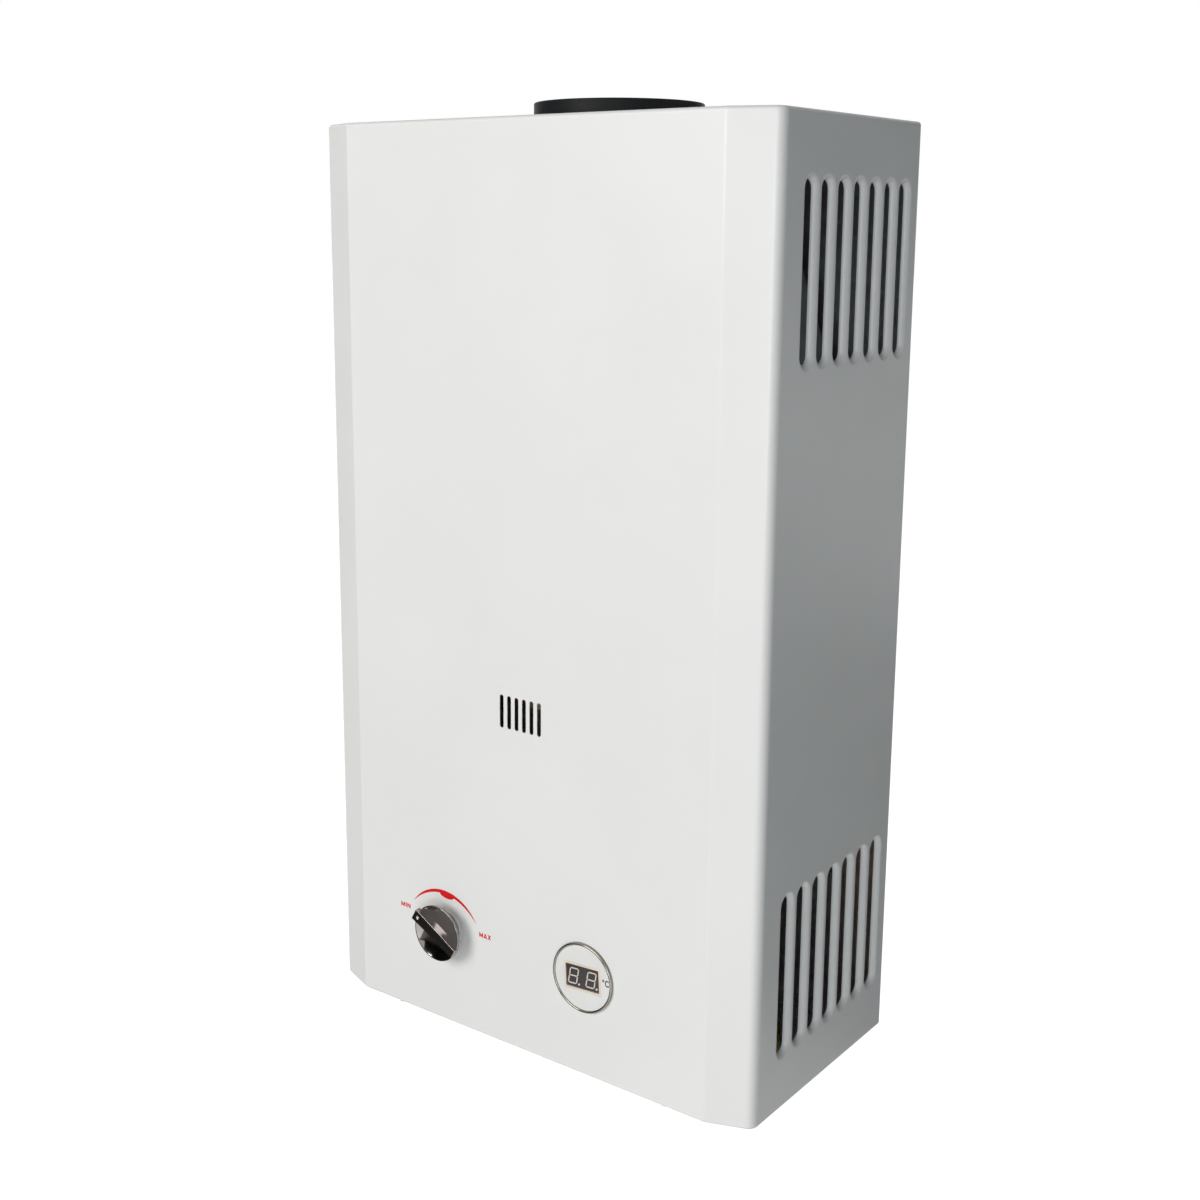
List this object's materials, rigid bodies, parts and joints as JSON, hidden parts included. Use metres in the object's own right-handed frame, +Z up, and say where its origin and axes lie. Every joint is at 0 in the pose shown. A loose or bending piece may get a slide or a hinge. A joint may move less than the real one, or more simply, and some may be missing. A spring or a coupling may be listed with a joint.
{
  "type": "gas water heater",
  "caption": "Wall-hung instantaneous gas water heater: bevelled sheet cover with louvred sides, flue spigot, gas control knob and round temperature display.",
  "frame": {"origin": "middle of the four wall bolt holes, on the wall plane", "axes": "+Z up, +Y into the wall, -Y out of the front, +X to the right seen from the front"},
  "size_m": [0.34, 0.1885, 0.626],
  "materials": {
    "white_enamel": "gloss",
    "black_enamel": "satin",
    "galvanised": "satin",
    "steel": "satin",
    "copper": "satin",
    "brass": "satin",
    "alloy": "satin",
    "black_plastic": "matte",
    "grey_plastic": "matte",
    "white_plastic": "gloss",
    "smoked_chrome": "mirror",
    "bright_chrome": "mirror",
    "rubber": "matte",
    "ceramic": "gloss",
    "mica": "gloss",
    "segment_block": "satin",
    "circuit_board": "satin",
    "fibre": "matte",
    "cell": "satin"
  },
  "bodies": {
    "heater": {"back_plate": "galvanised", "bottom_panel": "galvanised", "front_cover": "white_enamel", "sheet_screws": "steel", "flue_collar": "black_enamel", "flue_hood": "galvanised", "combustion_chamber": "copper", "view_window": "mica", "exchanger_fins": "copper", "exchanger_tube": "copper", "chamber_brackets": "galvanised", "burner_tray": "steel", "burner_bars": "steel", "gas_manifold": "alloy", "gas_nozzles": "brass", "electrode_brackets": "steel", "electrode_insulators": "ceramic", "ignition_electrode": "steel", "flame_sensor": "steel", "gas_feed_pipe": "alloy", "cold_pipe": "copper", "hot_pipe": "copper", "cold_inlet": "brass", "gas_inlet": "brass", "hot_outlet": "brass", "inlet_strainer": "steel", "seal_washers": "fibre", "water_valve_body": "brass", "water_valve_cover": "brass", "diaphragm": "rubber", "poppet_spring": "steel", "gas_valve_body": "alloy", "solenoid_coil": "black_plastic", "solenoid_spring": "steel", "valve_screws": "steel", "microswitch": "black_plastic", "spindle_bush": "brass", "knob_plinth": "white_plastic", "valve_bracket": "galvanised", "igniter_box": "black_plastic", "thermostat": "grey_plastic", "temperature_sensor": "black_plastic", "battery_box": "black_plastic", "batteries": "cell", "battery_contacts": "steel", "display_bezel": "bright_chrome", "display_housing": "white_plastic", "led_module": "segment_block", "display_board": "circuit_board", "display_ring_nut": "white_plastic"},
    "knob": {"control_knob": "smoked_chrome", "knob_spindle": "steel", "regulator_plug": "brass"},
    "valve_stem": {"push_rod": "brass", "gas_poppet": "rubber"},
    "switch_lever": {"microswitch_lever": "steel"},
    "gas_plunger": {"solenoid_plunger": "steel"},
    "battery_flap": {"battery_lid": "black_plastic"},
    "drain_cock": {"drain_plug": "black_plastic"}
  },
  "joints": [
    {"name": "knob_turn", "type": "hinge", "parent": "heater", "child": "knob", "pos_m": [-0.062, -0.174, -0.2269], "axis": [0, 1, 0], "range_deg": [0, 125]},
    {"name": "valve_stroke", "type": "slide", "parent": "heater", "child": "valve_stem", "axis": [1, 0, 0], "range_m": [0, 0.004], "stiffness_N_per_m": 400, "springref_m": -0.005, "deforming": ["poppet_spring", "diaphragm"]},
    {"name": "switch_lever_swing", "type": "hinge", "parent": "heater", "child": "switch_lever", "pos_m": [-0.0993, -0.07, -0.2059], "axis": [0, -1, 0], "range_deg": [0, 16.1]},
    {"name": "plunger_pull", "type": "slide", "parent": "heater", "child": "gas_plunger", "axis": [1, 0, 0], "range_m": [0, 0.003], "stiffness_N_per_m": 300, "springref_m": -0.004, "deforming": ["solenoid_spring"]},
    {"name": "battery_flap_swing", "type": "hinge", "parent": "heater", "child": "battery_flap", "pos_m": [0.078, -0.1004, -0.2982], "axis": [1, 0, 0], "range_deg": [0, 100]},
    {"name": "drain_turn", "type": "hinge", "parent": "heater", "child": "drain_cock", "pos_m": [-0.138, -0.095, -0.295], "axis": [0, 0, 1], "range_deg": [0, 90]}
  ],
  "couplings": [
    {"joint": "switch_lever_swing", "follows": "valve_stroke", "rad_per_m": 70}
  ]
}
